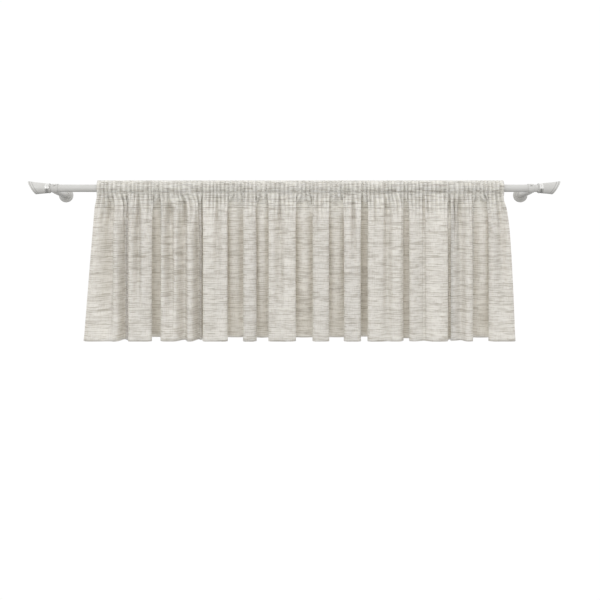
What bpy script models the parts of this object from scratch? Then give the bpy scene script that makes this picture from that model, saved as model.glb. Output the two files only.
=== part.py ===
"""A gathered window valance on its curtain rod, with two wall brackets and two finials.

Metres, +Z up. The rod runs along X, the room is towards -Y and the wall is the plane y = 0.
The origin lies on the wall, midway between the two brackets and level with their wall plates.
"""

import math
import random
from collections import namedtuple

import bmesh
import bpy
from mathutils import Matrix, Vector

MM = 0.001
CLEARANCE = 0.0003  # the gap kept between two pieces that touch
SMOOTH_ANGLE = 35  # degrees between two faces that are still shaded as one

# The rod and where it is held
ROD_RADIUS = 0.0095
ROD_Y = -0.100
ROD_Z = 0.0185
ROD_CENTRE_X = 0.0032
ROD_HALF_LENGTH = 0.6277
ROD_SIDES = 48

# The wall brackets
BRACKET_X = 0.6016
PLATE_RADIUS = 0.019
PLATE_THICKNESS = 0.0045
PLATE_BEVEL = 0.0015
BOSS_RADIUS = 0.0125
BOSS_THICKNESS = 0.0035
ARM_WALL_RADIUS = 0.0085
ARM_ROD_RADIUS = 0.0070
ARM_DROP = 0.0078  # the arm's end lies this far below the rod's axis
ARM_REACH = 0.0965
ARM_END_STEPS = 4
RING_RADIUS = 0.0112
RING_WIDTH = 0.0145
BRACKET_SIDES = 32

# The grub screw that grips the rod, on the ring's upper front
SCREW_RADIUS = 0.0023
SCREW_SOCKET_RADIUS = 0.0012
SCREW_HEIGHT = 0.0014
SCREW_TILT = math.radians(42.0)
SCREW_SIDES = 18

# The finials: a bead against the rod, a cove, then a flared body with a slanting end
FINIAL_START = 0.6160  # from the rod's middle to the bead's inner face
FINIAL_SOCKET_DEPTH = 0.0120
BEAD_RADIUS = 0.0128
BEAD_LENGTH = 0.0072
BEAD_STEPS = 4
GROOVE_RADIUS = 0.0116
NECK_RADIUS = 0.0127
NECK_STEP = 0.0008  # from the groove behind the bead out to the neck
FLARE_START = 0.0150
FLARE_LENGTH = 0.0460
FLARE_START_RADIUS = 0.0132
FLARE_END_RADIUS = 0.0188
FLARE_STEPS = 3
FLARE_SWELL = 1.25  # above 1 the body widens more towards its end
FINIAL_LONG_SIDE = 0.0574
FINIAL_SHORT_SIDE = 0.0364
FINIAL_RIM = 0.0022
FINIAL_RIM_DEPTH = 0.0016
FINIAL_SIDES = 36
POLE_MERGE = 0.000005  # points of the turned profile this close on its axis are one

# The cloth
CLOTH_CENTRE_X = 0.018
CLOTH_THICKNESS = 0.0016
HEADING_LEFT = -512.0 * MM
HEADING_RIGHT = 514.0 * MM
PLEAT_PITCH = 10.5 * MM
PITCH_UNEVENNESS = 0.08
DEPTH_UNEVENNESS = 0.22
SCALLOP = 0.5 * MM
PLEAT_SEED = 5
FOLD_CORNER_RADIUS = 9.0 * MM
END_CURL = 9.0 * MM
FLAT_START = 0.35  # a fold with no hollow is flat over this part of its width
FLAT_END = 0.65
END_FLARE = 20.0 * MM  # how much further out each end fold reaches at the hem than at its top
LEFT_FLARE_POWER = 1.0
RIGHT_FLARE_POWER = 0.6
FAN = 1.032  # each tuck's floor stands this much further from the middle than its mouth
UNDERCUT = 6.0 * MM  # each tuck's floor reaches this far behind the folds beside it
SAMPLES_PER_CORNER = 5
WALL_SHARE = 0.35  # how much of the heading each length of a fold's side wall takes up
FACING_REACH = 3  # the warp lines on each side that set which way a gather faces
MOST_MITRE = 2.4  # the furthest a sharp gather's edge reaches, in half thicknesses

# One row for each forward fold, from left to right, in millimetres from the cloth's middle.
# left, right: the fold's front edges. ridge: its furthest point in front of the rod's axis.
# left_back, right_back: how far its two edges lie behind that. valley, valley_back: where the
# soft hollow in its face lies, and how deep it is. tuck_top, tuck_back: where the tuck to the
# fold's right leaves the heading, and how far its floor lies behind the rod's axis.
Fold = namedtuple(
    "Fold", "left right ridge left_back right_back valley valley_back tuck_top tuck_back"
)
FOLDS = (
    Fold(-541, -435, 39, 10, 8, -490, 9, -441, 28),
    Fold(-424, -367, 39, 8, 8, -411, 8, -364, 30),
    Fold(-345, -250, 40, 10, 7, -290, 12, -252, 28),
    Fold(-240, -177, 39, 5, 4, -209, 6, -164, 28),
    Fold(-141, -107, 40, 5, 10, None, 0, -96, 28),
    Fold(-78, -9, 39, 4, 6, -48, 7, 11, 26),
    Fold(31, 74, 39, 10, 7, None, 0, 94, 28),
    Fold(110, 152, 40, 8, 5, 134, 5, 164, 33),
    Fold(170, 260, 40, 6, 6, 219, 11, 266, 32),
    Fold(273, 308, 36, 5, 5, None, 0, 313, 18),
    Fold(313, 367, 40, 12, 8, None, 0, 375, 27),
    Fold(377, 431, 39, 12, 5, 400, 9, 456, 25),
    Fold(471, 539, 39, 9, 10, 516, 6, 514, 0),
)

# One row for each level of the cloth, from the turned-down edge behind the rod, up and over
# it, and down the front to the hem, in millimetres. height: above the rod's axis. out: how
# far the layer stands in front of it. pleat: half the depth of the small gathers, negative
# where their ridges face the wall. across, deep: how much of the large folds' spread along
# the rod, and of their depth, has opened.
Level = namedtuple("Level", "height out pleat across deep")
LEVELS = (
    Level(-24.0, -4.6, 1.0, 0.12, 0.12),
    Level(-14.0, -3.6, 1.2, 0.0, 0.0),
    Level(-3.5, -18.0, -5.2, 0.0, 0.0),
    Level(12.5, -12.9, -3.4, 0.0, 0.0),
    Level(18.6, 0.0, 0.0, 0.0, 0.0),
    Level(12.5, 12.9, 3.4, 0.0, 0.0),
    Level(-3.5, 18.0, 5.2, 0.0, 0.0),
    Level(-14.0, 6.2, 3.2, 0.0, 0.0),
    Level(-31.0, 5.0, 2.6, 0.2, 0.2),
    Level(-50.0, 3.0, 2.4, 0.55, 0.4),
    Level(-78.0, 1.5, 1.6, 0.9, 0.68),
    Level(-115.0, 0.0, 0.7, 0.97, 0.88),
    Level(-200.0, 0.0, 0.0, 1.0, 0.98),
    Level(-381.0, 0.0, 0.0, 1.0, 1.0),
)
TOP_LEVEL = 4
FLARE_TOP = -80.0 * MM
HEM = -381.0 * MM


def clear_scene():
    """Removes every object, so that only this model is left."""
    for item in list(bpy.data.objects):
        bpy.data.objects.remove(item, do_unlink=True)


def material(name, colour, roughness, metallic):
    """A Principled material of one colour."""
    made = bpy.data.materials.new(name)
    made.use_nodes = True
    shader = made.node_tree.nodes["Principled BSDF"]
    shader.inputs["Base Color"].default_value = (*colour, 1.0)
    shader.inputs["Roughness"].default_value = roughness
    shader.inputs["Metallic"].default_value = metallic
    return made


def add_object(name, mesh, finish):
    """Links a mesh into the scene under its node's name."""
    made = bpy.data.objects.new(name, mesh)
    bpy.context.scene.collection.objects.link(made)
    made.data.materials.append(finish)
    return made


def mesh_from(shape, name, smooth_angle=None):
    """Turns a bmesh into a mesh whose faces point out, shaded smooth up to an angle."""
    bmesh.ops.recalc_face_normals(shape, faces=shape.faces)
    mesh = bpy.data.meshes.new(name)
    shape.to_mesh(mesh)
    shape.free()
    if smooth_angle is not None:
        mesh.shade_smooth()
        mesh.set_sharp_from_angle(angle=math.radians(smooth_angle))
    return mesh


def turned(shape, start, towards, profile, sides):
    """Adds a solid turned about a line: profile holds (distance along it, radius) pairs."""
    along = (towards - start).normalized()
    turn = along.to_track_quat("Z", "Y").to_matrix()
    rings = []
    for distance, radius in profile:
        ring = []
        for number in range(sides):
            angle = math.tau * number / sides
            spoke = turn @ Vector((math.cos(angle), math.sin(angle), 0.0))
            ring.append(shape.verts.new(start + along * distance + spoke * radius))
        rings.append(ring)
    for lower, upper in zip(rings, rings[1:]):
        for number in range(sides):
            after = (number + 1) % sides
            shape.faces.new((lower[number], lower[after], upper[after], upper[number]))
    shape.faces.new(list(reversed(rings[0])))
    shape.faces.new(rings[-1])


# ---- cloth ---------------------------------------------------------------------------------


def rounded(points, radius):
    """A path through points whose inner corners are rounded off."""
    path = [points[0]]
    for before, corner, after in zip(points, points[1:], points[2:]):
        reach = min(radius, (before - corner).length / 2, (after - corner).length / 2)
        start = corner + (before - corner).normalized() * reach
        end = corner + (after - corner).normalized() * reach
        for step in range(SAMPLES_PER_CORNER):
            t = step / (SAMPLES_PER_CORNER - 1)
            path.append(start.lerp(corner, t).lerp(corner.lerp(end, t), t))
    path.append(points[-1])
    return path


def gathered_length(start, end):
    """How much of the heading a stretch of the hem takes up: its side walls take up little."""
    return abs(end.x - start.x) + WALL_SHARE * abs(end.y - start.y)


def spaced(path, count):
    """The points that divide a path into count equal gathered lengths, without its last point."""
    lengths = [gathered_length(a, b) for a, b in zip(path, path[1:])]
    step = sum(lengths) / count
    found = []
    index = 0
    passed = 0.0
    for number in range(count):
        target = number * step
        while passed + lengths[index] < target:
            passed += lengths[index]
            index += 1
        share = (target - passed) / lengths[index] if lengths[index] else 0.0
        found.append(path[index].lerp(path[index + 1], share))
    return found


def fold_front(fold):
    """The points across one fold's face, in plan: x, and y from the rod's axis."""
    left = fold.left * MM
    right = fold.right * MM
    ridge = -fold.ridge * MM
    points = [Vector((left, ridge + fold.left_back * MM))]
    if fold.valley is None:
        points.append(Vector((left + (right - left) * FLAT_START, ridge)))
        points.append(Vector((left + (right - left) * FLAT_END, ridge)))
    else:
        valley = fold.valley * MM
        points.append(Vector(((left + valley) / 2, ridge)))
        points.append(Vector((valley, ridge + fold.valley_back * MM)))
        points.append(Vector(((valley + right) / 2, ridge)))
    points.append(Vector((right, ridge + fold.right_back * MM)))
    return points


def tuck_floor(fold, following):
    """The two corners of the floor between one fold and the next."""
    back = fold.tuck_back * MM
    left = fold.right * MM * FAN - UNDERCUT
    right = following.left * MM * FAN + UNDERCUT
    return Vector((left, back)), Vector((right, back))


def hem_plan():
    """The hem in plan: for each fold, the points from one tuck's middle to the next."""
    spans = []
    opening = fold_front(FOLDS[0])[0] + Vector((0.0, END_CURL))
    before = [opening]
    for fold, following in zip(FOLDS, FOLDS[1:]):
        floor_left, floor_right = tuck_floor(fold, following)
        middle = (floor_left + floor_right) / 2
        spans.append([*before, *fold_front(fold), floor_left, middle])
        before = [middle, floor_right]
    closing = fold_front(FOLDS[-1])[-1] + Vector((0.0, END_CURL))
    spans.append([*before, *fold_front(FOLDS[-1]), closing])
    return [rounded(span, FOLD_CORNER_RADIUS) for span in spans]


def columns():
    """Each warp line down the cloth: its x in the heading, its place in the hem, and its flare."""
    tops = [HEADING_LEFT, *(fold.tuck_top * MM for fold in FOLDS[:-1]), HEADING_RIGHT]
    found = []
    spans = hem_plan()
    for number, (start, end, span) in enumerate(zip(tops, tops[1:], spans)):
        count = round((end - start) / (PLEAT_PITCH / 2))
        for step, place in enumerate(spaced(span, count)):
            share = step / count
            left_flare = 1 - share if number == 0 else 0.0
            right_flare = share if number == len(spans) - 1 else 0.0
            found.append((start + (end - start) * share, place, left_flare, right_flare))
    found.append((HEADING_RIGHT, spans[-1][-1], 0.0, 1.0))
    return found


def unevenness(count):
    """Seeded variations of each warp line: along the rod, and in its gather's depth."""
    draw = random.Random(PLEAT_SEED)
    shifts = []
    depths = []
    for _ in range(count):
        shifts.append(draw.uniform(-1, 1) * PITCH_UNEVENNESS * PLEAT_PITCH)
        depths.append(1 + draw.uniform(-1, 1) * DEPTH_UNEVENNESS)
    shifts[0] = 0.0
    shifts[-1] = 0.0
    return shifts, depths


def level_line(level, lines, shifts):
    """One level's line in plan, before its small gathers are added."""
    height = level.height * MM
    drop = min(1.0, max(0.0, (FLARE_TOP - height) / (FLARE_TOP - HEM)))
    left_in = END_FLARE * (1 - drop**LEFT_FLARE_POWER)
    right_in = END_FLARE * (1 - drop**RIGHT_FLARE_POWER)
    points = []
    for (top, place, left_flare, right_flare), shift in zip(lines, shifts):
        x = place.x + left_in * left_flare - right_in * right_flare
        gathered = top + shift
        points.append(Vector((gathered + (x - gathered) * level.across, place.y * level.deep)))
    return points


def facing(points, index):
    """The direction in which a plan line faces the room around one of its points."""
    before = points[max(index - FACING_REACH, 0)]
    after = points[min(index + FACING_REACH, len(points) - 1)]
    run = (after - before).normalized()
    return Vector((run.y, -run.x))


def openness(points, index):
    """How far apart the warp lines stand around a point: 1 or more where they are not crowded."""
    before = points[max(index - 1, 0)]
    after = points[min(index + 1, len(points) - 1)]
    return (after - before).length / PLEAT_PITCH


def cloth_rows():
    """The cloth's middle surface, a row of points for each level."""
    lines = columns()
    shifts, depths = unevenness(len(lines))
    rows = []
    for number, level in enumerate(LEVELS):
        points = level_line(level, lines, shifts)
        row = []
        for index, point in enumerate(points):
            ridge = 1 if index % 2 else -1
            swing = 2 * depths[index] - 1 if ridge > 0 else -1
            pleat = level.pleat * min(1.0, openness(points, index))
            out = (level.out + swing * pleat) * MM
            place = point + facing(points, index) * out
            scallop = ridge * SCALLOP if number == TOP_LEVEL else 0.0
            row.append(
                Vector(
                    (
                        place.x + CLOTH_CENTRE_X,
                        place.y + ROD_Y,
                        ROD_Z + level.height * MM + scallop,
                    )
                )
            )
        rows.append(row)
    return rows


def quad_normals(rows):
    """The unit normal of each four-sided patch between two rows and two columns."""
    found = []
    for upper, lower in zip(rows, rows[1:]):
        line = []
        for left in range(len(upper) - 1):
            across = lower[left + 1] - upper[left]
            other = lower[left] - upper[left + 1]
            line.append(across.cross(other).normalized())
        found.append(line)
    return found


def thickness_steps(rows):
    """How far each point moves from the middle surface to the cloth's face."""
    normals = quad_normals(rows)
    steps = []
    for number, row in enumerate(rows):
        line = []
        for index in range(len(row)):
            beside = [
                normals[up][left]
                for up in (number - 1, number)
                for left in (index - 1, index)
                if 0 <= up < len(normals) and 0 <= left < len(normals[0])
            ]
            total = sum(beside, Vector())
            mitre = min(MOST_MITRE, len(beside) / max(total.length, 1e-6))
            line.append(total.normalized() * mitre * CLOTH_THICKNESS / 2)
        steps.append(line)
    return steps


def join_rows(shape, rows):
    """Fills the patches between rows of points, facing the way the rows run."""
    for upper, lower in zip(rows, rows[1:]):
        for left in range(len(upper) - 1):
            shape.faces.new((upper[left], upper[left + 1], lower[left + 1], lower[left]))


def add_valance(finish):
    """One length of cloth, turned over the rod to make its pocket, gathered on it and hung."""
    rows = cloth_rows()
    steps = thickness_steps(rows)
    shape = bmesh.new()
    faces = []
    for side in (1, -1):
        faces.append(
            [
                [shape.verts.new(place + step * side) for place, step in zip(*pair)]
                for pair in zip(rows, steps)
            ]
        )
    face, back = faces
    join_rows(shape, face)
    join_rows(shape, back)
    join_rows(shape, [face[0], back[0]])
    join_rows(shape, [face[-1], back[-1]])
    join_rows(shape, [[row[0] for row in face], [row[0] for row in back]])
    join_rows(shape, [[row[-1] for row in face], [row[-1] for row in back]])
    mesh = mesh_from(shape, "valance_cloth", smooth_angle=SMOOTH_ANGLE)
    add_object("valance_cloth", mesh, finish)


# ---- rod, brackets and finials --------------------------------------------------------------


def add_rod(finish):
    """The round rod, which ends inside the two finials."""
    shape = bmesh.new()
    half = Vector((ROD_HALF_LENGTH, 0, 0))
    middle = Vector((ROD_CENTRE_X, ROD_Y, ROD_Z))
    profile = ((0.0, ROD_RADIUS), (2 * ROD_HALF_LENGTH, ROD_RADIUS))
    turned(shape, middle - half, middle + half, profile, ROD_SIDES)
    add_object("curtain_rod", mesh_from(shape, "curtain_rod", smooth_angle=SMOOTH_ANGLE), finish)


def bracket_tool(name, start, towards, profile):
    """A turned solid that is joined to a bracket, or cut from it."""
    shape = bmesh.new()
    turned(shape, start, towards, profile, BRACKET_SIDES)
    made = bpy.data.objects.new(name, mesh_from(shape, name))
    bpy.context.scene.collection.objects.link(made)
    made.hide_render = True
    made.display_type = "WIRE"
    return made


def combine(target, tool, operation):
    """Adds a Boolean of the tool to the target."""
    step = target.modifiers.new(tool.name, "BOOLEAN")
    step.operation = operation
    step.solver = "EXACT"
    step.object = tool


def plate_profile():
    """The wall plate with its eased edge, and the boss that stands on it."""
    front = PLATE_THICKNESS + BOSS_THICKNESS
    return (
        (0.0, PLATE_RADIUS),
        (PLATE_THICKNESS - PLATE_BEVEL, PLATE_RADIUS),
        (PLATE_THICKNESS, PLATE_RADIUS - PLATE_BEVEL),
        (PLATE_THICKNESS, BOSS_RADIUS),
        (front - PLATE_BEVEL, BOSS_RADIUS),
        (front, BOSS_RADIUS - PLATE_BEVEL),
    )


def arm_profile(length):
    """The tapering arm, from inside the plate to its rounded end under the rod."""
    profile = [(0.0, ARM_WALL_RADIUS)]
    for step in range(ARM_END_STEPS):
        angle = math.pi / 2 * step / ARM_END_STEPS
        nose = ARM_ROD_RADIUS * math.sin(angle)
        profile.append((length + nose, ARM_ROD_RADIUS * math.cos(angle)))
    return profile


def add_bracket(side, x, finish):
    """One cast bracket: wall plate, boss, rising arm and the ring that holds the rod."""
    name = f"bracket_{side}"
    wall = Vector((x, 0.0, 0.0))
    inside_plate = wall + Vector((0, -PLATE_THICKNESS / 2, 0))
    arm_end = Vector((x, -ARM_REACH, ROD_Z - ARM_DROP))
    axis = Vector((x, ROD_Y, ROD_Z))
    ring_start = axis - Vector((RING_WIDTH / 2, 0, 0))
    bore_start = axis - Vector((RING_WIDTH, 0, 0))
    bore_radius = ROD_RADIUS + CLEARANCE

    shape = bmesh.new()
    turned(shape, wall, wall + Vector((0, -1, 0)), plate_profile(), BRACKET_SIDES)
    bracket = add_object(name, mesh_from(shape, name), finish)
    arm = bracket_tool(
        f"{name}_arm", inside_plate, arm_end, arm_profile((arm_end - inside_plate).length)
    )
    ring_profile = ((0.0, RING_RADIUS), (RING_WIDTH, RING_RADIUS))
    ring = bracket_tool(f"{name}_ring", ring_start, axis, ring_profile)
    bore_profile = ((0.0, bore_radius), (2 * RING_WIDTH, bore_radius))
    bore = bracket_tool(f"{name}_bore", bore_start, axis, bore_profile)
    combine(bracket, arm, "UNION")
    combine(bracket, ring, "UNION")
    combine(bracket, bore, "DIFFERENCE")


def add_screw(side, x, finish):
    """The small socket-headed screw seated on the ring's upper front."""
    out = Vector((0, -math.cos(SCREW_TILT), math.sin(SCREW_TILT)))
    seat = Vector((x, ROD_Y, ROD_Z)) + out * (RING_RADIUS + CLEARANCE)
    turn = out.to_track_quat("Z", "Y").to_matrix().to_4x4()
    shape = bmesh.new()
    bmesh.ops.create_cone(
        shape,
        cap_ends=True,
        segments=SCREW_SIDES,
        radius1=SCREW_RADIUS,
        radius2=SCREW_RADIUS,
        depth=SCREW_HEIGHT,
        matrix=Matrix.Translation(seat + out * SCREW_HEIGHT / 2) @ turn,
    )
    shape.normal_update()
    top = max(shape.faces, key=lambda face: face.calc_center_median().dot(out))
    bmesh.ops.inset_region(
        shape, faces=[top], thickness=SCREW_RADIUS - SCREW_SOCKET_RADIUS, depth=0.0
    )
    bmesh.ops.translate(shape, verts=top.verts, vec=-out * SCREW_HEIGHT / 2)
    name = f"screw_{side}"
    add_object(name, mesh_from(shape, name, smooth_angle=SMOOTH_ANGLE), finish)


def finial_profile():
    """Half the finial's section, from the socket's floor round its outside to past its end."""
    bore = ROD_RADIUS + CLEARANCE
    bead_middle = BEAD_LENGTH / 2
    profile = [
        (FINIAL_SOCKET_DEPTH, 0.0),
        (FINIAL_SOCKET_DEPTH, bore),
        (0.0, bore),
        (0.0, BEAD_RADIUS - bead_middle / 2),
    ]
    for step in range(1, BEAD_STEPS):
        angle = math.pi * step / BEAD_STEPS
        along = bead_middle * (1 - math.cos(angle))
        rise = bead_middle / 2 * math.sin(angle)
        profile.append((along, BEAD_RADIUS - bead_middle / 2 + rise))
    profile.append((BEAD_LENGTH, GROOVE_RADIUS))
    profile.append((BEAD_LENGTH + NECK_STEP, NECK_RADIUS))
    profile.append((FLARE_START, FLARE_START_RADIUS))
    for step in range(1, FLARE_STEPS + 1):
        share = step / FLARE_STEPS
        swell = share**FLARE_SWELL
        radius = FLARE_START_RADIUS + (FLARE_END_RADIUS - FLARE_START_RADIUS) * swell
        profile.append((FLARE_START + FLARE_LENGTH * share, radius))
    profile.append((FLARE_START + FLARE_LENGTH, 0.0))
    return profile


def add_finial(side, hand, finish):
    """One turned finial; hand is -1 at the rod's left end and 1 at its right."""
    shape = bmesh.new()
    line = [shape.verts.new((along, 0.0, radius)) for along, radius in finial_profile()]
    edges = [shape.edges.new(pair) for pair in zip(line, line[1:])]
    bmesh.ops.spin(
        shape,
        geom=line + edges,
        cent=(0, 0, 0),
        axis=(1, 0, 0),
        angle=math.tau,
        steps=FINIAL_SIDES,
        use_duplicate=False,
    )
    bmesh.ops.remove_doubles(shape, verts=shape.verts, dist=POLE_MERGE)

    # The end is cut on a slant, longer above, then sunk a little inside its rim.
    top = Vector((FINIAL_LONG_SIDE, 0, FLARE_END_RADIUS))
    bottom = Vector((FINIAL_SHORT_SIDE, 0, -(FLARE_START_RADIUS + FLARE_END_RADIUS) / 2))
    slope = (top - bottom).normalized()
    outward = Vector((slope.z, 0, -slope.x))
    cut = bmesh.ops.bisect_plane(
        shape,
        geom=[*shape.verts, *shape.edges, *shape.faces],
        plane_co=bottom,
        plane_no=outward,
        clear_outer=True,
    )
    rim = [item for item in cut["geom_cut"] if isinstance(item, bmesh.types.BMEdge)]
    end = bmesh.ops.contextual_create(shape, geom=rim)["faces"]
    bmesh.ops.recalc_face_normals(shape, faces=shape.faces)
    bmesh.ops.inset_region(shape, faces=end, thickness=FINIAL_RIM, depth=-FINIAL_RIM_DEPTH)

    bmesh.ops.scale(shape, vec=(hand, 1, 1), verts=shape.verts)
    place = Vector((ROD_CENTRE_X + hand * FINIAL_START, ROD_Y, ROD_Z))
    bmesh.ops.translate(shape, vec=place, verts=shape.verts)
    name = f"finial_{side}"
    add_object(name, mesh_from(shape, name, smooth_angle=SMOOTH_ANGLE), finish)


def build():
    """Makes every piece."""
    clear_scene()
    cloth = material("slub_cloth", (0.70, 0.67, 0.60), 0.9, 0.0)
    paint = material("satin_paint", (0.66, 0.65, 0.62), 0.38, 0.0)
    steel = material("plated_steel", (0.45, 0.45, 0.44), 0.35, 1.0)
    add_valance(cloth)
    add_rod(paint)
    for side, hand in (("left", -1), ("right", 1)):
        add_bracket(side, hand * BRACKET_X, paint)
        add_screw(side, hand * BRACKET_X, steel)
        add_finial(side, hand, paint)


build()
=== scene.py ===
import math
import random
from collections import namedtuple

import bpy
import numpy as np
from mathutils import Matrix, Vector


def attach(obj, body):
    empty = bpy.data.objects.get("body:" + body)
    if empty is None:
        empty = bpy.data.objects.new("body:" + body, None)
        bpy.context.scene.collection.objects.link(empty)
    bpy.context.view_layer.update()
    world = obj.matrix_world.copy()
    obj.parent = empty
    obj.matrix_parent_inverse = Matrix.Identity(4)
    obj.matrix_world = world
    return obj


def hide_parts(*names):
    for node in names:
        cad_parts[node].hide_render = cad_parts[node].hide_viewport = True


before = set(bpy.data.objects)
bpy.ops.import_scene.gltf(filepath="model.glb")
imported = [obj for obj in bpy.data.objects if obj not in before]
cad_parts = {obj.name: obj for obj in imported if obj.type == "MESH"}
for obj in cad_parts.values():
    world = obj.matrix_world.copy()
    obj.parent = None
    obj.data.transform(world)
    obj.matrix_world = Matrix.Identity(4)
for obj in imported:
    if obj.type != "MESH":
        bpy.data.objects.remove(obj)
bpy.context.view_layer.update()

# ---- Camera, light and floor ----
# The camera stands in front of the middle of the cloth, level with the rod. White light
# comes from all round and above, with one large soft lamp over the camera. A pale floor
# lies well below the valance.

ROD_Y = -0.100
ROD_Z = 0.0185
CLOTH_CENTRE_X = 0.018
CAMERA_DISTANCE = 2.11
CAMERA_LENS = 50.0
SENSOR_WIDTH = 36.0
ROD_ROW = 188.25  # the pixel row of the rod's axis in a square picture
PICTURE = 600

camera_data = bpy.data.cameras.new("camera")
camera_data.lens = CAMERA_LENS
camera_data.sensor_width = SENSOR_WIDTH
camera_data.shift_y = (ROD_ROW - PICTURE / 2) / PICTURE
camera = bpy.data.objects.new("camera", camera_data)
camera.location = (CLOTH_CENTRE_X, ROD_Y - CAMERA_DISTANCE, ROD_Z)
camera.rotation_euler = (math.radians(90), 0, 0)
bpy.context.scene.collection.objects.link(camera)
bpy.context.scene.camera = camera
bpy.context.scene.view_settings.view_transform = "Standard"

LAMP_PLACE = (-0.50, -2.6, 0.95)
LAMP_AIM = (0, ROD_Y, -0.15)
LAMP_SIZE = 0.6
LAMP_ENERGY = 13.0

lamp_data = bpy.data.lights.new("soft_lamp", "AREA")
lamp_data.shape = "RECTANGLE"
lamp_data.size = LAMP_SIZE
lamp_data.size_y = LAMP_SIZE
lamp_data.energy = LAMP_ENERGY
lamp = bpy.data.objects.new("soft_lamp", lamp_data)
lamp.location = LAMP_PLACE
lamp_direction = Vector(LAMP_AIM) - lamp.location
lamp.rotation_euler = lamp_direction.to_track_quat("-Z", "Y").to_euler()
bpy.context.scene.collection.objects.link(lamp)

MIX_FACTOR, MIX_FIRST, MIX_SECOND, MIX_RESULT = 0, 6, 7, 2  # a colour Mix's own sockets


class Wire:
    """An output in a node tree: sums on it add Math nodes, and node() adds any other node."""

    def __init__(self, tree, socket=None):
        self.tree = tree
        self.socket = socket

    def node(self, kind, settings=None, sockets=None, output=0):
        """Adds a node, sets what it is told first, then its sockets, and gives one output."""
        made = self.tree.nodes.new(kind)
        for name, value in (settings or {}).items():
            setattr(made, name, value)
        for name, value in (sockets or {}).items():
            if isinstance(value, Wire):
                self.tree.links.new(value.socket, made.inputs[name])
            else:
                made.inputs[name].default_value = value
        return Wire(self.tree, made.outputs[output] if made.outputs else None)

    def maths(self, operation, *values):
        return self.node("ShaderNodeMath", {"operation": operation}, dict(enumerate(values)))

    def __add__(self, other):
        return self.maths("ADD", self, other)

    __radd__ = __add__

    def __sub__(self, other):
        return self.maths("SUBTRACT", self, other)

    def __rsub__(self, other):
        return self.maths("SUBTRACT", other, self)

    def __mul__(self, other):
        return self.maths("MULTIPLY", self, other)

    __rmul__ = __mul__

    def __abs__(self):
        return self.maths("ABSOLUTE", self)

    def floor(self):
        return self.maths("FLOOR", self)

    def fraction(self):
        return self.maths("FRACT", self)

    def sine(self):
        return self.maths("SINE", self)

    def larger(self, other):
        return self.maths("MAXIMUM", self, other)

    def rise(self, low, high):
        """Goes smoothly from 0 at low to 1 at high."""
        settings = {"interpolation_type": "SMOOTHSTEP"}
        span = {"Value": self, "From Min": low, "From Max": high}
        return self.node("ShaderNodeMapRange", settings, span)

    def mix(self, first, second):
        """Between two colours, by this wire."""
        settings = {"data_type": "RGBA", "blend_type": "MIX"}
        colours = {MIX_FACTOR: self, MIX_FIRST: first, MIX_SECOND: second}
        return self.node("ShaderNodeMix", settings, colours, MIX_RESULT)


HORIZON_LIGHT = 1.155
FLOORWARD_LIGHT = 0.18
BACKDROP_LIGHT = 1.02  # what the camera itself sees behind the valance
# Where the light changes from one to the other, from -1, straight down, to 1, straight up
DARK_BELOW = -0.75
BRIGHT_ABOVE = 0.15

world = bpy.data.worlds.new("studio")
world.use_nodes = True
bpy.context.scene.world = world
world.node_tree.nodes.clear()
sky = Wire(world.node_tree)
ray = sky.node("ShaderNodeTexCoord", output="Generated")
upward = sky.node("ShaderNodeSeparateXYZ", {}, {"Vector": ray}, "Z")
daylight = upward.rise(DARK_BELOW, BRIGHT_ABOVE) * (HORIZON_LIGHT - FLOORWARD_LIGHT)
seen = sky.node("ShaderNodeLightPath", output="Is Camera Ray")
strength = seen * BACKDROP_LIGHT + (1 - seen) * (daylight + FLOORWARD_LIGHT)
glow = sky.node(
    "ShaderNodeBackground", {}, {"Color": (1.0, 1.0, 1.0, 1.0), "Strength": strength}
)
sky.node("ShaderNodeOutputWorld", {}, {"Surface": glow})

FLOOR_COLOUR = (0.44, 0.44, 0.435, 1.0)
FLOOR_HEIGHT = -1.36
FLOOR_HALF_WIDTH = 2.4
FLOOR_FRONT = -2.7
FLOOR_BACK = 0.5


def new_material(name):
    """A material, its Principled shader, and a wire to start its other nodes from."""
    made = bpy.data.materials.new(name)
    made.use_nodes = True
    return made, made.node_tree.nodes["Principled BSDF"], Wire(made.node_tree)


floor_paint, shader, _ = new_material("floor_paint")
shader.inputs["Base Color"].default_value = FLOOR_COLOUR
shader.inputs["Roughness"].default_value = 0.85
floor_mesh = bpy.data.meshes.new("floor")
floor_mesh.from_pydata(
    [
        (-FLOOR_HALF_WIDTH, FLOOR_FRONT, FLOOR_HEIGHT),
        (FLOOR_HALF_WIDTH, FLOOR_FRONT, FLOOR_HEIGHT),
        (FLOOR_HALF_WIDTH, FLOOR_BACK, FLOOR_HEIGHT),
        (-FLOOR_HALF_WIDTH, FLOOR_BACK, FLOOR_HEIGHT),
    ],
    [],
    [(0, 1, 2, 3)],
)
floor_mesh.materials.append(floor_paint)
floor = bpy.data.objects.new("floor", floor_mesh)
bpy.context.scene.collection.objects.link(floor)


# ---- Wall brackets and their screws ----
# Each bracket is a die casting in warm white satin paint: a round wall plate, a boss, an arm
# and the ring round the rod. A small nickel-plated grub screw in the ring grips the rod.

PAINT_COLOUR = (0.56, 0.555, 0.537, 1.0)
PAINT_DUSTY = (0.51, 0.503, 0.483, 1.0)
NICKEL_DARK = (0.46, 0.455, 0.44, 1.0)
NICKEL_BRIGHT = (0.60, 0.59, 0.57, 1.0)
# How fine the paint's unevenness of tone and of level is, and the brushing of the nickel
PAINT_CLOUDS = 22.0
PAINT_GRAIN = 900.0
BRUSH_GRAIN = 1500.0


def noise(start, scale, detail):
    """Noise over the piece, in its own place."""
    place = start.node("ShaderNodeTexCoord", output="Object")
    sockets = {"Vector": place, "Scale": scale, "Detail": detail}
    return start.node("ShaderNodeTexNoise", {}, sockets)


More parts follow.
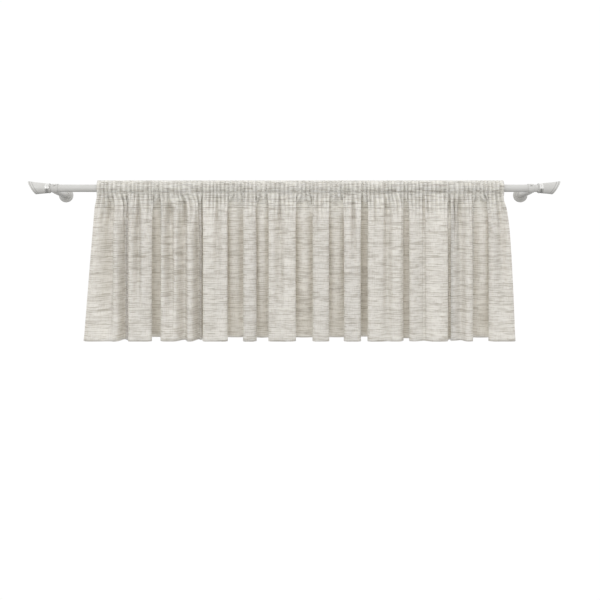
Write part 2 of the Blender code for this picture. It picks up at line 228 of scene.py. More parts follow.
def bumps(start, height, strength, distance):
    """A normal that follows a height, as deep as distance in metres at a strength of 1."""
    sockets = {"Strength": strength, "Distance": distance, "Height": height}
    return start.node("ShaderNodeBump", {}, sockets)


def plug(node, **values):
    """Links wires into a node's sockets, named with underscores for spaces."""
    for name, value in values.items():
        value.tree.links.new(value.socket, node.inputs[name.replace("_", " ")])


def painted(name):
    """Satin paint over metal: very faint unevenness of tone, gloss and level."""
    made, shader, start = new_material(name)
    shader.inputs["Specular IOR Level"].default_value = 0.5
    cloud = noise(start, PAINT_CLOUDS, 3.0)
    tone = cloud.rise(0.35, 0.8).mix(PAINT_COLOUR, PAINT_DUSTY)
    gloss = cloud * 0.12 + 0.30
    level = bumps(start, noise(start, PAINT_GRAIN, 1.0), 0.12, 0.0002)
    plug(shader, Base_Color=tone, Roughness=gloss, Normal=level)
    return made, shader, start, tone, gloss


def dress(material, *nodes):
    """Gives a material to pieces that keep their solid's shape."""
    for node in nodes:
        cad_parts[node].material_slots[0].material = material


dress(painted("bracket_paint")[0], "bracket_left", "bracket_right")

screw_plate, shader, start = new_material("screw_plate")
shader.inputs["Metallic"].default_value = 1.0
brushed = noise(start, BRUSH_GRAIN, 2.0)
plug(shader, Base_Color=brushed.mix(NICKEL_DARK, NICKEL_BRIGHT), Roughness=brushed * 0.2 + 0.25)
dress(screw_plate, "screw_left", "screw_right")


# ---- Curtain rod ----
# A round steel tube, 19 mm across, in the same warm white satin paint. Its ends are hidden
# in the finials, and the cloth hides its middle.

dress(painted("rod_paint")[0], "curtain_rod")


# ---- Finials ----
# Each finial is turned in one piece with a bead, a polished collar and a flared body whose
# end is cut on a slant. The collar's band is bright above, with painted shade on its lower half
# that stands in for the darker reflection from below; the rest has the rod's paint.

FINIAL_MIDDLE_X = 0.0032
COLLAR_START = 0.6190  # how far along the rod from its middle the polished band lies
COLLAR_END = 0.6280
COLLAR_EDGE = 0.0003
SHINE_LOW = -0.003  # the heights between which the band's painted shade below gives way to its bright polish above
SHINE_HIGH = 0.001
SEAM_GAP = 0.0007  # how far before the band the seam line lies, painted dark as shade
SEAM_CORE = 0.0003
SEAM_EDGE = 0.0009
GROOVE_REACH = 0.6558  # how far along the groove near the slanting end crosses the rod's axis
GROOVE_SLOPE = 0.604
GROOVE_GAP = 0.0056  # between the two grooves
GROOVE_HALF_WIDTH = 0.0008
GROOVE_SOFTNESS = 0.4
GROOVE_DARKNESS = 0.8
POLISHED = (0.74, 0.735, 0.72, 1.0)
POLISHED_PAINTED_SHADE = (0.52, 0.515, 0.50, 1.0)
GROOVE_SHADE = (0.30, 0.295, 0.28, 1.0)

finial_paint, shader, start, tone, gloss = painted("finial_paint")
place = start.node("ShaderNodeTexCoord", output="Object")
along = start.node("ShaderNodeSeparateXYZ", {}, {"Vector": place}, "X")
above = start.node("ShaderNodeSeparateXYZ", {}, {"Vector": place}, "Z") - ROD_Z
reach = abs(along - FINIAL_MIDDLE_X)
collar = reach.rise(COLLAR_START - COLLAR_EDGE, COLLAR_START + COLLAR_EDGE) * (
    1 - reach.rise(COLLAR_END - COLLAR_EDGE, COLLAR_END + COLLAR_EDGE)
)
# Painted shade: below the rod's axis the band is painted darker, standing in for the dim
# reflection of the floor.
collar_painted_reflection = above.rise(SHINE_LOW, SHINE_HIGH).mix(POLISHED_PAINTED_SHADE, POLISHED)
# Painted shade: two thin grooves near the slanting end and a seam line beside the collar are
# painted dark with GROOVE_SHADE, standing in for the shade inside them.
from_groove = abs(abs(reach - above * GROOVE_SLOPE - GROOVE_REACH) - GROOVE_GAP / 2)
groove_core = GROOVE_HALF_WIDTH * (1 - GROOVE_SOFTNESS)
groove_edge = GROOVE_HALF_WIDTH * (1 + GROOVE_SOFTNESS)
from_seam = abs(reach - COLLAR_START + SEAM_GAP)
groove_painted_shade = (1 - from_groove.rise(groove_core, groove_edge)) + (
    1 - from_seam.rise(SEAM_CORE, SEAM_EDGE)
)
plug(
    shader,
    Base_Color=(groove_painted_shade * GROOVE_DARKNESS).mix(collar.mix(tone, collar_painted_reflection), GROOVE_SHADE),
    Roughness=gloss - collar * 0.18,
    Metallic=collar * 0.9,
)
dress(finial_paint, "finial_left", "finial_right")


# ---- Valance cloth ----
# One length of ivory slub weave. Its top is turned over the rod and sewn down to make the
# pocket, it is gathered on the rod to less than half its width, and it falls in soft uneven
# folds with flat tucks between them to a narrow hem.

MM = 0.001
PLEAT_PITCH = 10.4 * MM
FACE_LINES_PER_PLEAT = 8
TUCK_LINES_PER_PLEAT = 6
FEWEST_TUCK_LINES = 7  # from a fold's edge to the middle of the tuck beside it
HEADING_LEFT = -512.0 * MM
HEADING_RIGHT = 514.0 * MM
CLOTH_THICKNESS = 0.9 * MM
HEM_TURN = -369.0  # millimetres from the rod's axis to the top of the turned-up hem
HEM_THICKNESS = 1.8 * MM
FOLD_CORNER_RADIUS = 6.0 * MM
SAMPLES_PER_CORNER = 9
END_CURL = 6.0 * MM  # how far the cloth's two side edges turn back to the wall
LEFT_FLARE = 28.0 * MM  # how far the end folds spread outwards on the way down to the hem
RIGHT_FLARE = 25.0 * MM
LEFT_FLARE_POWER = 1.0
RIGHT_FLARE_POWER = 0.52
FLARE_TOP = -34.0 * MM
HEM = -381.0 * MM
FAN = 0.032  # how much further out the floor of the deepest tuck lies, as a share of x
DEEPEST_TUCK = 67.0  # millimetres from the folds' fronts to its floor
UNDERCUT = 6.0 * MM  # how far that floor reaches behind the faces on both sides

# A row for each forward fold, left to right, in millimetres from the cloth's middle: the
# edges of its face, how far in front of the rod's axis the face lies, how far its two edges
# lie behind that, how far from each edge the face begins to turn back, and how far the floor
# of the tuck to its right lies behind the rod's axis.
Fold = namedtuple("Fold", "left right ridge left_back right_back left_turn right_turn tuck_back")
FOLDS = (
    Fold(-539.5, -432, 39, 8, 38, 12, 20, 28),
    Fold(-428, -370, 39, 5, 7, 4, 6, 30),
    Fold(-347, -247, 40, 8, 38, 10, 17, 28),
    Fold(-242, -181, 39, 5, 6, 5, 5, 28),
    Fold(-141, -109, 40, 5, 10, 4, 7, 28),
    Fold(-78, -11, 39, 5, 7, 7, 8, 26),
    Fold(32, 72, 39, 8, 6, 6, 6, 28),
    Fold(110, 151, 40, 7, 6, 6, 6, 33),
    Fold(169, 258, 40, 6, 16, 6, 9, 32),
    Fold(273, 306, 37, 5, 9, 5, 20, -26),
    Fold(314, 368, 40, 11, 6, 14, 8, 27),
    Fold(377, 430, 39, 14, 5, 16, 6, 25),
    Fold(471, 536.5, 39, 9, 5, 10, 8, 0),
)

# A row for each hollow or swelling that runs down the cloth, in millimetres: its x above and
# below, the heights where it starts and ends, its depth (below 0 it comes forward, which
# makes a tuck shallower), its width to the left and to the right of that x, and whether it
# lies in a fold's face or in the floor of a tuck.
Crease = namedtuple("Crease", "x_above x_below start end depth left_width right_width place")
CREASES = (
    Crease(-474, -472, -14, -420, 32, 24, 6, "face"),
    Crease(-405, -403, -14, -360, 18, 10, 7, "face"),
    Crease(-325, -320, -14, -400, 32, 17, 7, "face"),
    Crease(-290, -288, -14, -900, 27, 15, 7, "face"),
    Crease(-206, -206, -14, -290, 12, 9, 8, "face"),
    Crease(-50, -50, -14, -380, 15, 12, 8, "face"),
    Crease(134, 134, -14, -220, 10, 7, 6, "face"),
    Crease(221, 218, -14, -470, 17, 11, 8, "face"),
    Crease(404, 402, -14, -900, 20, 16, 8, "face"),
    Crease(506, 506, -14, -300, 13, 14, 7, "face"),
    Crease(-444, -444, -60, -900, 17, 8, 10, "face"),
    Crease(-259, -259, -60, -900, 17, 8, 10, "face"),
    Crease(-432, -432, -30, -620, -30, 11, 14, "tuck"),
    Crease(-368, -367, -30, -440, -20, 18, 18, "tuck"),
    Crease(-245, -245, -30, -620, -30, 11, 14, "tuck"),
    Crease(-166, -165, -30, -440, -38, 25, 25, "tuck"),
    Crease(-96, -96, -30, -460, -42, 22, 22, "tuck"),
    Crease(11, 11, -30, -440, -40, 27, 27, "tuck"),
    Crease(93, 93, -30, -440, -40, 25, 25, "tuck"),
    Crease(164, 164, -30, -440, -14, 18, 18, "tuck"),
    Crease(272, 272, -30, -620, -30, 19, 19, "tuck"),
    Crease(378, 378, -30, -620, -46, 17, 17, "tuck"),
    Crease(463, 463, -30, -440, -42, 28, 28, "tuck"),
)

# The gathers that stay deepest below the seam, left to right: the x of each in millimetres
# and how many times deeper than the rest it is. Even pleats fill the cloth between them.
Gather = namedtuple("Gather", "x deeper")
GATHERS = (
    Gather(-484, 1.3),
    Gather(-473, 1.1),
    Gather(-450, 1.6),
    Gather(-437, 1.6),
    Gather(-425, 1.2),
    Gather(-407, 1.7),
    Gather(-382, 1.2),
    Gather(-366, 1.3),
    Gather(-355, 1.5),
    Gather(-332, 1.4),
    Gather(-317, 1.0),
    Gather(-299, 1.7),
    Gather(-284, 1.7),
    Gather(-259, 1.6),
    Gather(-246, 1.2),
    Gather(-209, 1.4),
    Gather(-180, 1.5),
    Gather(-166, 1.0),
    Gather(-148, 1.3),
    Gather(-110, 1.7),
    Gather(-85, 1.6),
    Gather(-51, 1.3),
    Gather(-6, 1.4),
    Gather(25, 1.6),
    Gather(44, 1.4),
    Gather(78, 1.6),
    Gather(103, 1.2),
    Gather(133, 1.3),
    Gather(157, 1.5),
    Gather(168, 1.4),
    Gather(187, 1.4),
    Gather(213, 1.7),
    Gather(240, 1.0),
    Gather(254, 1.4),
    Gather(271, 1.3),
    Gather(310, 1.4),
    Gather(364, 1.6),
    Gather(375, 1.6),
    Gather(390, 1.7),
    Gather(402, 1.4),
    Gather(434, 1.3),
    Gather(463, 1.5),
    Gather(494, 1.2),
)

# A row for each level of the cloth, from the turned-down edge behind the rod, over it and
# down to the hem. height and out: millimetres above and in front of the rod's axis. pleat:
# half the small gathers' depth, below 0 where they swing the other way. turn: degrees that
# their ridges lean from the room, over the top, towards the wall. across, deep: how much of
# the large folds' spread and depth has opened. fade: how unequally the gathers die away.
# rows: how many rows of the mesh run from here to the next level.
Level = namedtuple("Level", "height out pleat turn across deep fade rows")
LEVELS = (
    Level(-24.0, -4.8, -0.9, 180, 0.12, 0.10, 0.0, 1),
    Level(-18.5, -4.4, -1.0, 180, 0.03, 0.03, 0.0, 2),
    Level(-14.0, -3.8, -1.0, 180, 0.0, 0.0, 0.0, 2),
    Level(-8.5, -12.0, 2.5, 172, 0.0, 0.0, 0.0, 2),
    Level(-1.0, -16.0, 3.8, 165, 0.0, 0.0, 0.0, 2),
    Level(9.5, -13.6, 3.6, 145, 0.0, 0.0, 0.0, 2),
    Level(16.6, -7.2, 1.8, 115, 0.0, 0.0, 0.0, 2),
    Level(19.4, 0.0, 0.2, 90, 0.0, 0.0, 0.0, 2),
    Level(18.0, 6.4, 1.2, 45, 0.0, 0.0, 0.0, 2),
    Level(12.0, 12.0, 3.0, 10, 0.0, 0.0, 0.0, 3),
    Level(1.0, 15.0, 3.8, 3, 0.0, 0.0, 0.0, 3),
    Level(-7.5, 14.6, 3.8, 0, 0.0, 0.0, 0.0, 2),
    Level(-12.0, 11.7, 2.2, 0, 0.0, 0.0, 0.0, 1),
    Level(-14.0, 12.8, 3.0, 0, 0.0, 0.0, 0.0, 2),
    Level(-18.5, 12.2, 3.8, 0, 0.15, 0.03, 0.1, 3),
    Level(-26.0, 11.0, 4.9, 0, 0.42, 0.11, 0.3, 3),
    Level(-36.0, 8.8, 5.8, 0, 0.72, 0.26, 0.5, 4),
    Level(-50.0, 5.8, 5.4, 0, 0.90, 0.46, 0.9, 4),
    Level(-70.0, 3.0, 4.0, 0, 0.97, 0.68, 1.6, 4),
    Level(-100.0, 1.0, 1.8, 0, 1.0, 0.85, 2.6, 4),
    Level(-150.0, 0.0, 0.4, 0, 1.0, 0.94, 3.0, 4),
    Level(-250.0, 0.0, 0.0, 0, 1.0, 0.99, 3.0, 5),
    Level(-367.5, 0.0, 0.0, 0, 1.0, 1.0, 3.0, 1),
    Level(-369.0, 0.0, 0.0, 0, 1.0, 1.0, 3.0, 2),
    Level(-381.0, 0.0, 0.0, 0, 1.0, 1.0, 3.0, 0),
)


def rounded(points, radius):
    """A path through points whose inner corners are rounded off."""
    path = [points[0]]
    for before, corner, after in zip(points, points[1:], points[2:]):
        reach = min(radius, (before - corner).length / 2, (after - corner).length / 2)
        start = corner + (before - corner).normalized() * reach
        end = corner + (after - corner).normalized() * reach
        for step in range(SAMPLES_PER_CORNER):
            t = step / (SAMPLES_PER_CORNER - 1)
            path.append(start.lerp(corner, t).lerp(corner.lerp(end, t), t))
    path.append(points[-1])
    return path


def fold_front(fold):
    """The points across one fold's face, in plan: x, and y from the rod's axis."""
    front = -fold.ridge
    points = (
        (fold.left, front + fold.left_back),
        (fold.left + fold.left_turn, front),
        (fold.right - fold.right_turn, front),
        (fold.right, front + fold.right_back),
    )
    return [Vector(point) * MM for point in points]


def tuck_sides(fold, following):
    """The way from one fold's right edge to the tuck's middle, and on to the next fold."""
    back = fold.tuck_back * MM
    leave = fold_front(fold)[-1]
    meet = fold_front(following)[0]
    open_share = (fold.tuck_back + fold.ridge) / DEEPEST_TUCK
    fan = 1 + FAN * open_share
    floor_left = Vector((fold.right * MM * fan - UNDERCUT * open_share, back))
    floor_right = Vector((following.left * MM * fan + UNDERCUT * open_share, back))
    middle = (floor_left + floor_right) / 2
    return [leave, floor_left, middle], [middle, floor_right, meet]


def stretches():
    """The hem in plan as stretches of cloth: a fold's face, the left half of a tuck, its right
    half, the next face and so on. Each is its points, and where it starts and ends in the
    heading. A face hangs straight down, and a tuck is gathered into its gap."""
    found = []
    start = HEADING_LEFT
    lead = [fold_front(FOLDS[0])[0] + Vector((0.0, END_CURL))]
    for fold, following in zip(FOLDS, FOLDS[1:]):
        end = fold.right * MM
        found.append(([*lead, *fold_front(fold)], start, end))
        lead = []
        start = following.left * MM
        leaving, meeting = tuck_sides(fold, following)
        found.append((leaving, end, (start + end) / 2))
        found.append((meeting, (start + end) / 2, start))
    closing = fold_front(FOLDS[-1])[-1] + Vector((0.0, END_CURL))
    found.append(([*fold_front(FOLDS[-1]), closing], start, HEADING_RIGHT))
    return found


def warp_lines():
    """For each thread line down the cloth: its x in the heading, its x and y in the hem, and
    its share of the left and right flare."""
    found = []
    parts = stretches()
    for number, (points, start, end) in enumerate(parts):
        path = np.array(rounded(points, FOLD_CORNER_RADIUS))
        run = np.concatenate(([0.0], np.cumsum(np.hypot(*np.diff(path, axis=0).T))))
        is_face = number % 3 == 0
        if is_face:
            steps = round((end - start) / (PLEAT_PITCH / FACE_LINES_PER_PLEAT))
        else:
            steps = round((end - start) / (PLEAT_PITCH / TUCK_LINES_PER_PLEAT))
            steps = max(FEWEST_TUCK_LINES, steps)
        last = number == len(parts) - 1
        share = np.linspace(0, 1, steps + 1)[: None if last else -1]
        found.append(
            np.column_stack(
                (
                    start + (end - start) * share,
                    np.interp(share * run[-1], run, path[:, 0]),
                    np.interp(share * run[-1], run, path[:, 1]),
                    1 - share if number == 0 else 0 * share,
                    share if last else 0 * share,
                )
            )
        )
    return np.vstack(found).T


def smooth_through(values, places):
    """A curve through evenly numbered values, read at fractional places."""
    values = np.concatenate(([values[0]], values, [values[-1]]))
    index = np.clip(places.astype(int), 0, len(values) - 4)
    t = places - index
    a, b, c, d = (values[index + shift] for shift in range(4))
    slope_b = (c - a) / 2
    slope_c = (d - b) / 2
    return (
        b * (2 * t**3 - 3 * t**2 + 1)
        + slope_b * (t**3 - 2 * t**2 + t)
        + c * (3 * t**2 - 2 * t**3)
        + slope_c * (t**3 - t**2)
    )


level_places = [
    number + step / level.rows for number, level in enumerate(LEVELS) for step in range(level.rows)
]
level_places = np.array([*level_places, len(LEVELS) - 1.0])
height, out, pleat, turn, across, deep, fade = (
    smooth_through(np.array([float(getattr(level, name)) for level in LEVELS]), level_places)
    for name in ("height", "out", "pleat", "turn", "across", "deep", "fade")
)
top_x, hem_x, hem_y, left_flare, right_flare = warp_lines()

# Each gather is a little wider or narrower, deeper or shallower, longer or shorter than the
# next. Depths and heights are shares of the level's pleat. Lasting is the share that is left
# of a gather where the level's fade is 1.
GATHER_SHIFT = 0.09
VALLEY_DEPTHS = (0.7, 1.15)
VALLEY_LASTING = (0.2, 0.75)
RIDGE_PLACES = (0.42, 0.58)
RIDGE_HEIGHTS = (0.75, 1.15)
RIDGE_LASTING = (0.35, 0.9)
END_DEPTH = 0.8
END_LASTING = 0.5
VALLEY_SHARPNESS = 0.62  # below 1 the valleys between gathers are tighter than their ridges

draw = random.Random(5)
Valley = namedtuple("Valley", "x depth lasting")
valleys = [Valley(HEADING_LEFT, END_DEPTH, END_LASTING)]
for gather in (*GATHERS, Gather(HEADING_RIGHT / MM, END_DEPTH)):
    before = valleys[-1].x
    gap = gather.x * MM - before
    between = max(1, round(gap / PLEAT_PITCH))
    for number in range(1, between):
        shift = draw.uniform(-1, 1) * GATHER_SHIFT
        depth = draw.uniform(*VALLEY_DEPTHS)
        lasting = draw.uniform(*VALLEY_LASTING)
        valleys.append(Valley(before + gap * (number + shift) / between, depth, lasting))
    valleys.append(Valley(gather.x * MM, gather.deeper, 1.0))

# The turning points of the gathers: the x of each, how far it swings, how much further it
# swings below the seam, and how much of it lasts.
turns = []
for valley, following in zip(valleys, valleys[1:]):
    ridge_x = valley.x + (following.x - valley.x) * draw.uniform(*RIDGE_PLACES)
    deeper = max(valley.depth, 1.0)
    turns.append((valley.x, -min(valley.depth, 1.0), 1.0 - deeper, valley.lasting))
    turns.append((ridge_x, draw.uniform(*RIDGE_HEIGHTS), 0.0, draw.uniform(*RIDGE_LASTING)))
turns.append((valleys[-1].x, -valleys[-1].depth, 0.0, END_LASTING))
turn_x, turn_swing, turn_below, turn_lasting = np.array(turns).T
turn_place = np.interp(top_x, turn_x, np.arange(len(turn_x)))
turn_number = np.minimum(turn_place.astype(int), len(turn_x) - 2)
valley_first = turn_number % 2 == 0
valley_turn = np.where(valley_first, turn_number, turn_number + 1)
ridge_turn = np.where(valley_first, turn_number + 1, turn_number)
from_turn = turn_place - turn_number
from_valley = np.where(valley_first, from_turn, 1 - from_turn)
rising = ((1 - np.cos(math.pi * from_valley)) / 2) ** VALLEY_SHARPNESS

drop = np.clip((FLARE_TOP - height * MM) / (FLARE_TOP - HEM), 0, 1)[:, None]
hem_line = (
    hem_x
    + LEFT_FLARE * (1 - drop**LEFT_FLARE_POWER) * left_flare
    - RIGHT_FLARE * (1 - drop**RIGHT_FLARE_POWER) * right_flare
)

# Tucks open later under the seam than the folds beside them spread and come forward.
TUCK_FLOOR = 0.028  # how far behind the rod's axis the cloth is all tuck
TUCK_SPREAD_LAG = 2
TUCK_DEPTH_LAG = 0.8
behind = np.clip(hem_y / TUCK_FLOOR, 0, 1)
spread = np.clip(across, 0, 1)[:, None]
x = top_x + (hem_line - top_x) * spread ** (1 + TUCK_SPREAD_LAG * behind)
y = hem_y * np.clip(deep, 0, 1)[:, None] ** (1 + TUCK_DEPTH_LAG * behind)

# Which way each part of a line faces, taken over the width of two gathers
columns = np.arange(x.shape[1])
after = np.minimum(columns + FACE_LINES_PER_PLEAT, columns[-1])
before = np.maximum(columns - FACE_LINES_PER_PLEAT, 0)
run_x = x[:, after] - x[:, before]
run_y = y[:, after] - y[:, before]
length = np.hypot(run_x, run_y)
facing_x = run_y / length
facing_y = -run_x / length

OPEN_ENOUGH = 0.25  # the share of a fold's opening from which it counts as open
SIDE_FLATTENING = 0.8  # how much of a gather is lost where the cloth runs straight to the wall
below_seam = np.clip(across / OPEN_ENOUGH, 0, 1)[:, None]
turn_swings = (turn_swing + turn_below * below_seam) * turn_lasting ** fade[:, None]
valley_swing = turn_swings[:, valley_turn]
swing = valley_swing + (turn_swings[:, ridge_turn] - valley_swing) * rising
swing *= pleat[:, None] * MM * (1 - SIDE_FLATTENING * facing_x**2)
lean = np.radians(turn)[:, None]
forward = swing * np.cos(lean)
grid = np.stack(
    (
        x + facing_x * forward + CLOTH_CENTRE_X,
        y + facing_y * forward - out[:, None] * MM + ROD_Y,
        ROD_Z + height[:, None] * MM + swing * np.sin(lean),
    ),
    axis=2,
)


def eased(values, low, high):
    """Goes smoothly from 0 at low to 1 at high."""
    t = np.clip((values - low) / (high - low), 0, 1)
    return t * t * (3 - 2 * t)


# Faces lie in front of the rod's axis and tucks behind it; near the seam they are still one.
FACE_STARTS = 0.004  # how far in front of the axis the cloth begins to be face
FACE_WHOLE = 0.016
TUCK_STARTS = 0.030  # how far in front of the axis a tuck begins, and how deep a whole one is
TUCK_WHOLE = 0.058
CREASE_ONSET = 0.050  # over what length a crease comes in
CREASE_DYING = 0.45  # the share of its length from which it dies away
CREASE_SQUARENESS = 2.5
opened = np.minimum(1, deep[:, None] / OPEN_ENOUGH)
on_face = 1 - opened * (1 - eased(-hem_y, FACE_STARTS, FACE_WHOLE))
on_tuck = deep[:, None] * np.clip((hem_y + TUCK_STARTS) / TUCK_WHOLE, 0, 1)
level_z = height[:, None] * MM
front = np.arange(len(height))[:, None] >= np.argmax(height)
across_cloth = grid[..., 0] - CLOTH_CENTRE_X
for crease in CREASES:
    start, end = crease.start * MM, crease.end * MM
    share = np.clip((start - level_z) / (start - end), 0, 1)
    middle = (crease.x_above + (crease.x_below - crease.x_above) * share) * MM
    beside = across_cloth - middle
    side_width = np.where(beside < 0, crease.left_width, crease.right_width) * MM
    profile = np.exp(-(np.abs(beside) / side_width) ** CREASE_SQUARENESS)
    window = eased(-level_z, -start, CREASE_ONSET - start)
    window = window * (1 - eased(share, CREASE_DYING, 1.0))
    layer = on_face if crease.place == "face" else on_tuck
    grid[..., 1] += profile * window * layer * crease.depth * MM * front


def surface_normals(points):
    """The unit normal at each point of a grid of points, towards the room on the cloth's front."""
    along = np.gradient(points, axis=1)
    down = np.gradient(points, axis=0)
    normal = np.cross(along, down)
    return -normal / np.linalg.norm(normal, axis=2, keepdims=True)


def sheet_mesh(name, points, thickness, weft, warp):
    """A closed sheet round a grid of points, with a map of its length along weft and warp."""
    rows, width = points.shape[:2]
    half_thickness = np.broadcast_to(thickness, (rows, width))[..., None] / 2
    step = surface_normals(points) * half_thickness
    verts = np.concatenate(((points + step).reshape(-1, 3), (points - step).reshape(-1, 3)))
    number = np.arange(rows * width).reshape(rows, width)
    corners = (number[:-1, :-1], number[1:, :-1], number[1:, 1:], number[:-1, 1:])
    quads = np.stack(corners, axis=2).reshape(-1, 4)
    rims = []
    for line, turned in (
        (number[0], False),
        (number[-1], True),
        (number[:, 0], True),
        (number[:, -1], False),
    ):
        behind_line = line + rows * width
        rim = np.stack((line[:-1], line[1:], behind_line[1:], behind_line[:-1]), axis=1)
        rims.append(rim[:, ::-1] if turned else rim)
    faces = np.concatenate((quads, quads[:, ::-1] + rows * width, *rims))
    mesh = bpy.data.meshes.new(name)
    mesh.vertices.add(len(verts))
    mesh.vertices.foreach_set("co", verts.ravel())
    mesh.loops.add(faces.size)
    mesh.loops.foreach_set("vertex_index", faces.ravel().astype(np.int32))
    mesh.polygons.add(len(faces))
    mesh.polygons.foreach_set("loop_start", np.arange(0, faces.size, 4, dtype=np.int32))
    mesh.update(calc_edges=True)
    mesh.validate()
    lengths = [np.broadcast_to(values, (rows, width)).ravel() for values in (weft, warp)]
    lengths = np.tile(np.stack(lengths, axis=1), (2, 1))
    layer = mesh.uv_layers.new(name="weave")
    layer.data.foreach_set("uv", lengths[faces.ravel()].ravel())
    mesh.shade_smooth()
    return mesh


def level_row(number):
    """The row of the mesh at one of the levels, counted from 0."""
    return sum(level.rows for level in LEVELS[:number])


FRONT_SEAM = level_row(12)  # the row that the pocket's stitches go through
section = np.hypot(np.diff(height), np.diff(out)) * MM
warp = np.concatenate(([0.0], np.cumsum(section)))
warp -= warp[FRONT_SEAM]
weft = np.concatenate(([0.0], np.cumsum(np.hypot(np.diff(hem_x), np.diff(hem_y)))))

turned_up = height <= HEM_TURN
thickness = np.where(turned_up, HEM_THICKNESS, CLOTH_THICKNESS)
cloth_mesh = sheet_mesh("valance_sheet", grid, thickness[:, None], weft[None, :], warp[:, None])
valance = bpy.data.objects.new("valance_sheet", cloth_mesh)
bpy.context.scene.collection.objects.link(valance)

THREAD_LIGHT = (0.935, 0.938, 0.944, 1.0)
THREAD_DOUBLED_PAINTED_BOUNCE = (0.957, 0.950, 0.902, 1.0)  # where the cloth lies double, at the pocket: a painted tint standing in for light bounced back from the layer behind
THREAD_SHADE = (0.58, 0.575, 0.555, 1.0)
THREAD_PALE = (0.95, 0.95, 0.94, 1.0)
SLUB_TAUPE = (0.33, 0.295, 0.235, 1.0)
SEEN_THROUGH = (0.94, 0.895, 0.80, 1.0)
FINE_WIDTH = 0.0027
# How far apart the noise is read for neighbouring threads, so that none look alike
THREAD_OFFSET = 0.37
THREAD_STRIDE = 5.71
HEAVY_STRIDE = 900
# The heaviest weft threads, by how many metres each lies below the pocket's seam
HEAVY_THREADS = (-0.007, 0.038, 0.128, 0.159, 0.203, 0.259, 0.294, 0.325)
HEAVY_CORE = 0.0008  # half a heavy thread's width, where it is full and where it ends
HEAVY_EDGE = 0.0016
# How much of the shade each kind of thread shows at its strongest
THIN_THREAD_SHADE = 0.15
WARP_SHADE = 0.28
SLUB_SHADE = 0.55
LONG_SLUB_SHADE = 0.37
HEAVY_SHADE = 0.7
PALE_SHARE = 0.7
SINGLE_FROM = 0.008  # metres below the seam
SINGLE_TO = 0.075
# The share of light that comes through the cloth at the pocket, how much more of it comes
# where the cloth is single, and how much less where a slub is thick
THROUGH_DOUBLED = 0.31
THROUGH_SINGLE = 0.155
THROUGH_SLUB = 0.16
WEFT_PITCH = 0.0013
WARP_PITCH = 0.0011

slub_weave, shader, start = new_material("slub_weave")
shader.inputs["Roughness"].default_value = 0.9
shader.inputs["Specular IOR Level"].default_value = 0.25
shader.inputs["Sheen Weight"].default_value = 0.15
shader.inputs["Sheen Roughness"].default_value = 0.5
sheet_place = start.node("ShaderNodeUVMap", {"uv_map": "weave"})
along_weft = start.node("ShaderNodeSeparateXYZ", {}, {"Vector": sheet_place}, "X")
down_warp = start.node("ShaderNodeSeparateXYZ", {}, {"Vector": sheet_place}, "Y")


def uneven(across, down, detail, roughness):
    """Flat noise, read at these two values."""
    place = start.node("ShaderNodeCombineXYZ", {}, {"X": across, "Y": down})
    sockets = {"Vector": place, "Scale": 1.0, "Detail": detail, "Roughness": roughness}
    return start.node("ShaderNodeTexNoise", {"noise_dimensions": "2D"}, sockets)


def streaks(length, width, detail, shift):
    """Uneven patches, of about this length along the weft and this width, in metres."""
    across = along_weft * (1 / length) + shift
    return uneven(across, down_warp * (1 / width) + shift, detail, 0.55)


def threads(length, width, detail, shift):
    """Separate weft threads of this width, each uneven in its own way along its length."""
    thread = (down_warp * (1 / width) + shift).floor()
    across = along_weft * (1 / length) + thread * THREAD_OFFSET
    return uneven(across, thread * THREAD_STRIDE, detail, 0.6)


fine = threads(0.035, FINE_WIDTH, 2.0, 0.0)
slubs = threads(0.040, 0.0021, 1.0, 31.7)
pale_slubs = threads(0.045, 0.0019, 1.0, 57.3)
long_slubs = threads(0.11, 0.0025, 2.0, 77.1)
warp_tone = streaks(0.0026, 0.016, 1.0, 3.9)
patches = streaks(0.10, 0.030, 2.0, 12.3)

# Every second fine thread is thicker, and so darker. The cloth is double at the pocket, and
# for some way below it the gathers lie close behind one another: there less light comes through,
# and a warmer, brighter painted tint stands in for light bounced back from the cloth behind.
thicker = abs((down_warp * (1 / (2 * FINE_WIDTH))).fraction() - 0.5).rise(0.2499, 0.2501)
shaded = fine.rise(0.30, 0.66) * (thicker * (1 - THIN_THREAD_SHADE) + THIN_THREAD_SHADE)
single = down_warp.rise(SINGLE_FROM, SINGLE_TO)
# Painted light: the warmer, brighter tint where the cloth is double and the gathers lie close
# stands in for light bounced back from the cloth behind.
light = single.mix(THREAD_DOUBLED_PAINTED_BOUNCE, THREAD_LIGHT)
colour = shaded.mix(light, THREAD_SHADE)
colour = (warp_tone.rise(0.5, 0.72) * WARP_SHADE).mix(colour, SLUB_TAUPE)
dashes = slubs.rise(0.54, 0.70) * patches.rise(-0.4, 0.6)
lines = long_slubs.rise(0.56, 0.70)
dark = (dashes * SLUB_SHADE).larger(lines * LONG_SLUB_SHADE)
for below in HEAVY_THREADS:
    heavy = 1 - abs(down_warp - below).rise(HEAVY_CORE, HEAVY_EDGE)
    strength = streaks(0.05, 0.004, 1.0, below * HEAVY_STRIDE).rise(0.36, 0.62) * HEAVY_SHADE
    dark = dark.larger(heavy * strength)
colour = dark.mix(colour, SLUB_TAUPE)
colour = (pale_slubs.rise(0.54, 0.70) * PALE_SHARE).mix(colour, THREAD_PALE)

weft_rib = (down_warp * (math.tau / WEFT_PITCH)).sine()
warp_rib = (along_weft * (math.tau / WARP_PITCH)).sine()
relief = weft_rib * 0.35 + warp_rib * 0.15 + fine * 1.2 + slubs
plug(shader, Base_Color=colour, Normal=bumps(start, relief, 0.5, 0.0004))

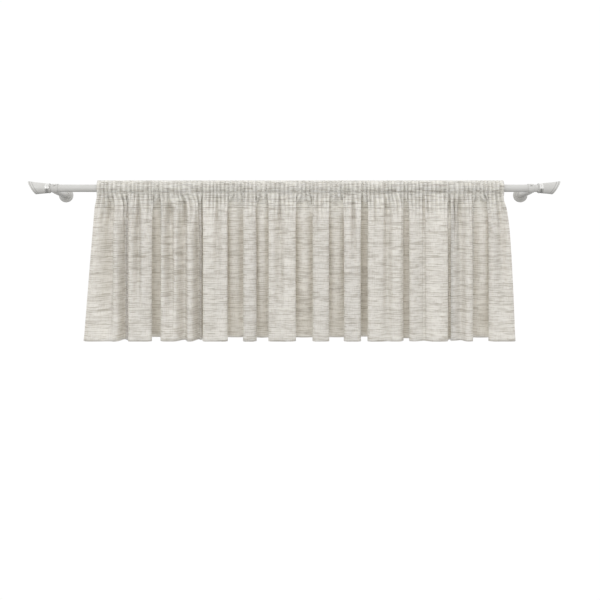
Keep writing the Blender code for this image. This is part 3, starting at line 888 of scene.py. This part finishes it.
glimmer = start.node("ShaderNodeBsdfTranslucent", {}, {"Color": SEEN_THROUGH})
through = THROUGH_DOUBLED + single * THROUGH_SINGLE - dark * THROUGH_SLUB
body = Wire(start.tree, shader.outputs["BSDF"])
both = start.node("ShaderNodeMixShader", {}, {0: through, 1: body, 2: glimmer})
plug(start.tree.nodes["Material Output"], Surface=both)
valance.data.materials.append(slub_weave)
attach(valance, "root")
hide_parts("valance_cloth")


# ---- Stitching ----
# Two rows of plain ecru machine stitches: one closes the rod pocket, on the cloth's front and
# on the turned-over edge behind, and one holds up the hem.

STITCH_PITCH = 3.4 * MM
STITCH_LENGTH = 2.5 * MM
STITCH_RADIUS = 0.28 * MM
STITCH_FULL = (0.25, 0.75)  # the shares of its length between which a stitch is thickest
BACK_SEAM = level_row(2)
HEM_SEAM = level_row(22)
THREAD_ECRU = (0.80, 0.77, 0.70, 1.0)
THREAD_ECRU_SHADE = (0.62, 0.58, 0.50, 1.0)
THREAD_TWIST = 700.0
stitch_verts = []
stitch_faces = []


def stitch_line(row, side):
    """Adds a row of stitches along one row of the cloth, on its front (1) or back (-1)."""
    proud = thickness[row] / 2 + STITCH_RADIUS / 2
    line = grid[row] + surface_normals(grid)[row] * side * proud
    run = np.concatenate(([0.0], np.cumsum(np.linalg.norm(np.diff(line, axis=0), axis=1))))
    count = int(run[-1] / STITCH_PITCH)
    for number in range(count):
        middle = (number + 0.5) * STITCH_PITCH
        first, last = (
            Vector([np.interp(middle + shift, run, line[:, axis]) for axis in range(3)])
            for shift in (-STITCH_LENGTH / 2, STITCH_LENGTH / 2)
        )
        lengthways = (last - first).normalized()
        upright = Vector((0, 0, 1)) - lengthways * lengthways.z
        upright = upright.normalized() * STITCH_RADIUS
        outward = lengthways.cross(upright)
        base = len(stitch_verts)
        stitch_verts.append(first)
        for share in STITCH_FULL:
            centre = first.lerp(last, share)
            ring = (centre + upright, centre + outward, centre - upright, centre - outward)
            stitch_verts.extend(ring)
        stitch_verts.append(last)
        end = len(stitch_verts) - 1
        for corner in range(4):
            a = base + 1 + corner
            b = base + 1 + (corner + 1) % 4
            stitch_faces.extend(((base, b, a), (a, b, b + 4, a + 4), (end, a + 4, b + 4)))


stitch_line(FRONT_SEAM, 1)
stitch_line(BACK_SEAM, -1)
stitch_line(HEM_SEAM, 1)

stitch_mesh = bpy.data.meshes.new("pocket_stitches")
stitch_mesh.from_pydata(stitch_verts, [], stitch_faces)
stitch_mesh.shade_smooth()
stitches = bpy.data.objects.new("pocket_stitches", stitch_mesh)
bpy.context.scene.collection.objects.link(stitches)

ecru_thread, shader, start = new_material("ecru_thread")
shader.inputs["Roughness"].default_value = 0.7
shader.inputs["Sheen Weight"].default_value = 0.2
twist = noise(start, THREAD_TWIST, 1.0)
tone = twist.rise(0.35, 0.7).mix(THREAD_ECRU, THREAD_ECRU_SHADE)
plug(shader, Base_Color=tone, Normal=bumps(start, twist, 0.3, 0.0001))
stitch_mesh.materials.append(ecru_thread)
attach(stitches, "root")
